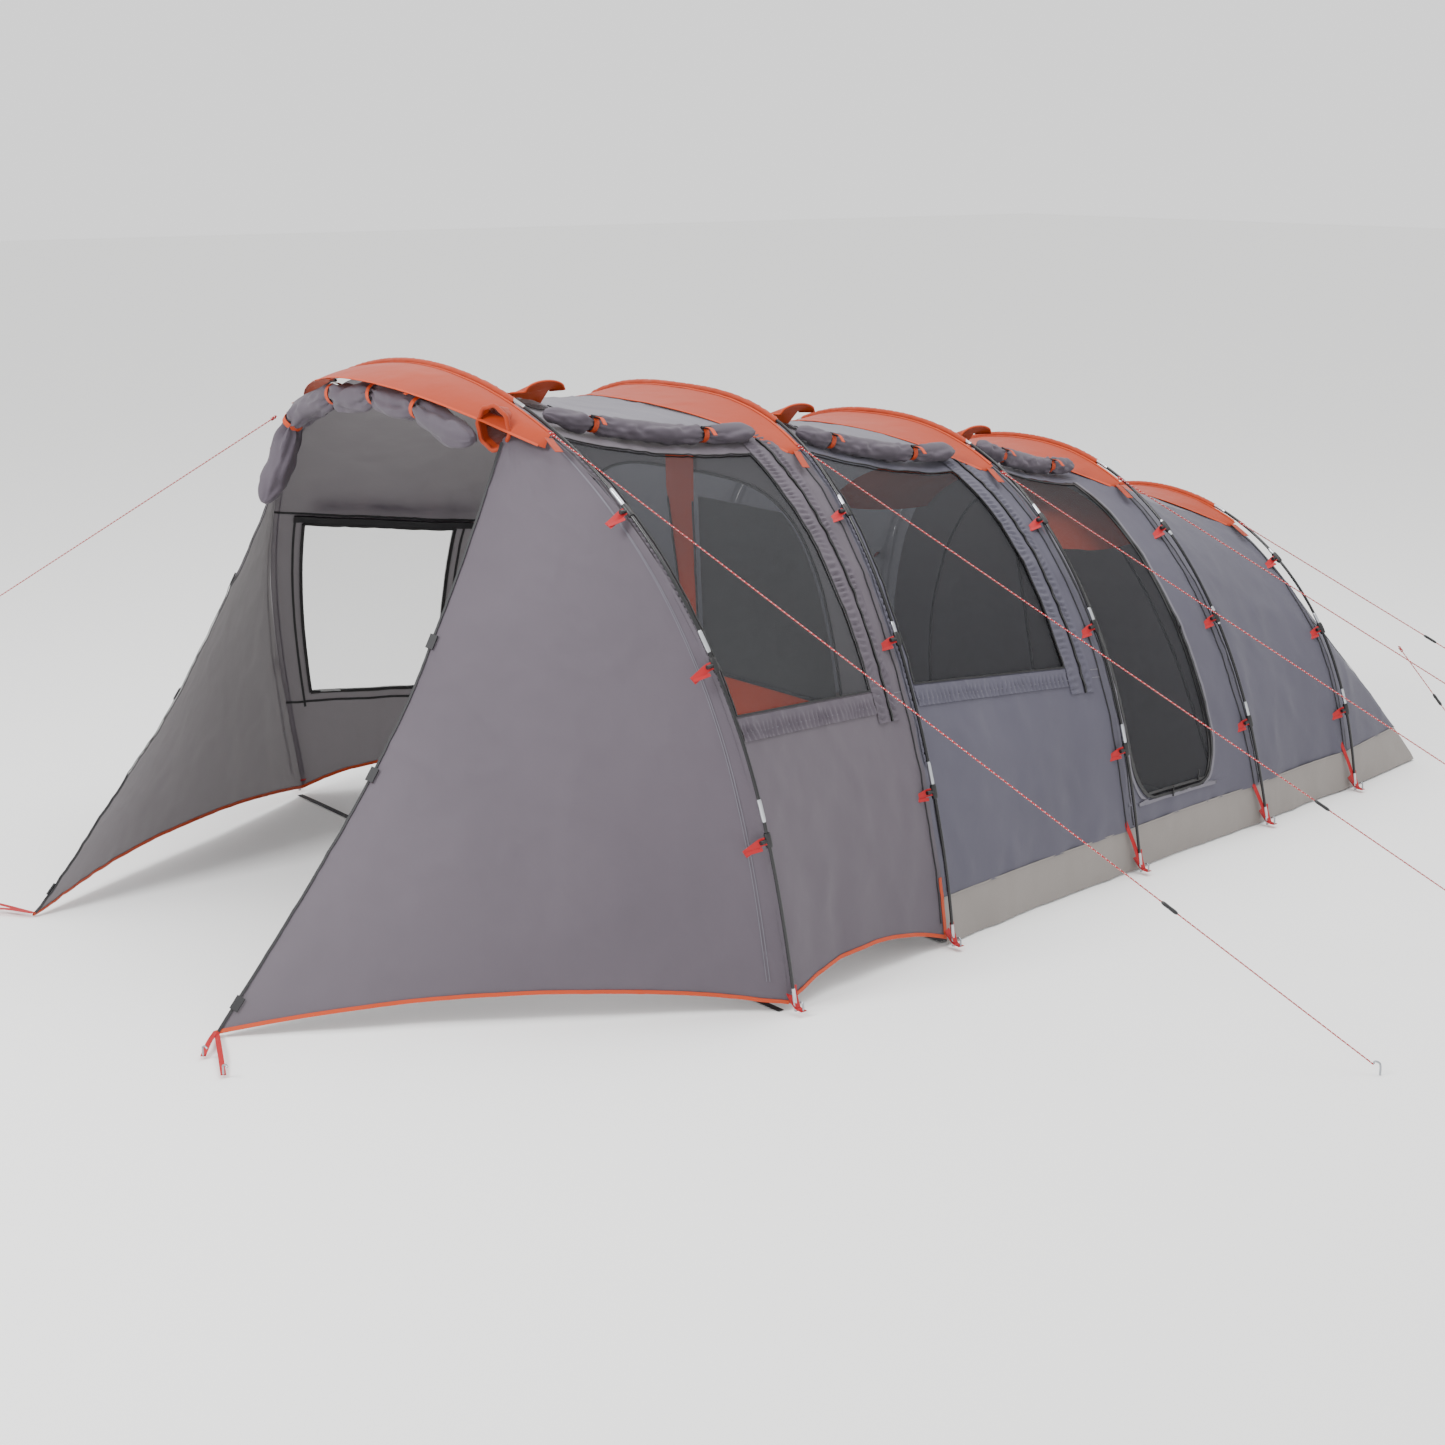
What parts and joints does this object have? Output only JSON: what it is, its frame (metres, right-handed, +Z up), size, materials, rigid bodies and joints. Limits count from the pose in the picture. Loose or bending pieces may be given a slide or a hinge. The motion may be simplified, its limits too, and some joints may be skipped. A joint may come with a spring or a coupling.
{
  "type": "tunnel tent",
  "caption": "Family tunnel tent on arched poles, with an open porch, mesh windows, a mesh side door, rolled-up covers and guy lines.",
  "frame": {"origin": "on the ground, at the middle of the tent's length and width", "axes": "+Z up, -Y towards the open porch, +X towards the side with the side door"},
  "size_m": [7.2185, 6.7909, 2.1358],
  "materials": {
    "polyester": "woven polyester, matt coating",
    "orange_polyester": "woven polyester, matt coating",
    "insect_mesh": "fine knitted insect mesh",
    "clear_film": "clear flexible film",
    "floor_sheeting": "woven coated sheeting",
    "black_webbing": "woven webbing",
    "fibreglass_pole": "pultruded fibreglass, satin",
    "steel_peg": "zinc-plated steel",
    "runner_plastic": "moulded nylon",
    "guy_cord": "braided cord"
  },
  "bodies": {
    "tent": {"front_door_roll": "polyester", "ground_strap": "black_webbing", "groundsheet": "floor_sheeting", "guy_line_1": "guy_cord", "guy_line_2": "guy_cord", "guy_line_3": "guy_cord", "guy_line_4": "guy_cord", "guy_line_5": "guy_cord", "guy_line_6": "guy_cord", "guy_line_7": "guy_cord", "inner_centre_strip": "orange_polyester", "inner_screen_near": "insect_mesh", "partition_front": "polyester", "partition_rear": "polyester", "peg_1": "steel_peg", "peg_2": "steel_peg", "peg_3": "steel_peg", "peg_4": "steel_peg", "peg_5": "steel_peg", "peg_6": "steel_peg", "peg_7": "steel_peg", "pole_arch_1": "fibreglass_pole", "pole_arch_2": "fibreglass_pole", "pole_arch_3": "fibreglass_pole", "pole_arch_4": "fibreglass_pole", "pole_arch_5": "fibreglass_pole", "rear_end": "polyester", "roof_1": "polyester", "roof_2": "polyester", "roof_3": "polyester", "roof_4": "polyester", "roof_band_1": "orange_polyester", "roof_band_2": "orange_polyester", "roof_band_3": "orange_polyester", "roof_band_4": "orange_polyester", "roof_band_5": "orange_polyester", "side_door_roll": "polyester", "skirt": "floor_sheeting", "wall_far_1": "polyester", "wall_far_2_to_4": "polyester", "wall_near_1": "polyester", "wall_near_2": "polyester", "wall_near_3": "polyester", "wall_near_4": "polyester", "window_clear_far_1": "clear_film", "window_mesh_near_1": "insect_mesh", "window_mesh_near_2": "insect_mesh", "window_roll_far_1": "polyester", "window_roll_near_1": "polyester", "window_roll_near_2": "polyester", "wing_far": "polyester", "wing_near": "polyester"},
    "side_door": {"side_door_mesh": "insect_mesh"},
    "vent_1": {"vent_flap_1": "orange_polyester"},
    "vent_2": {"vent_flap_2": "orange_polyester"},
    "vent_3": {"vent_flap_3": "orange_polyester"},
    "runner_on_line_1": {"runner_1": "runner_plastic"},
    "runner_on_line_2": {"runner_2": "runner_plastic"},
    "runner_on_line_5": {"runner_5": "runner_plastic"},
    "runner_on_line_6": {"runner_6": "runner_plastic"}
  },
  "joints": [
    {"name": "side_door_swing", "type": "hinge", "parent": "tent", "child": "side_door", "pos_m": [1.3535, 0.7106, 0.3082], "axis": [-0.4853, -0.1127, 0.8671], "range_deg": [0, 60]},
    {"name": "vent_1_tilt", "type": "hinge", "parent": "tent", "child": "vent_1", "pos_m": [0.4273, -1.6115, 2.0379], "axis": [0, 1, 0], "range_deg": [-20, 18]},
    {"name": "vent_2_tilt", "type": "hinge", "parent": "tent", "child": "vent_2", "pos_m": [0.4573, -0.4506, 1.8847], "axis": [0, 1, 0], "range_deg": [-20, 18]},
    {"name": "vent_3_tilt", "type": "hinge", "parent": "tent", "child": "vent_3", "pos_m": [0.3703, 0.5912, 1.7131], "axis": [0, 1, 0], "range_deg": [-20, 18]},
    {"name": "runner_1_slide", "type": "slide", "parent": "tent", "child": "runner_on_line_1", "axis": [0.7071, 0.44, -0.5535], "range_m": [-0.4, 0.3]},
    {"name": "runner_2_slide", "type": "slide", "parent": "tent", "child": "runner_on_line_2", "axis": [0.6781, 0.5064, -0.5326], "range_m": [-0.4, 0.3]},
    {"name": "runner_5_slide", "type": "slide", "parent": "tent", "child": "runner_on_line_5", "axis": [0.7193, 0.4938, -0.4886], "range_m": [-0.4, 0.3]},
    {"name": "runner_6_slide", "type": "slide", "parent": "tent", "child": "runner_on_line_6", "axis": [0.6143, 0.2176, -0.7584], "range_m": [-0.11, 0.3]}
  ]
}
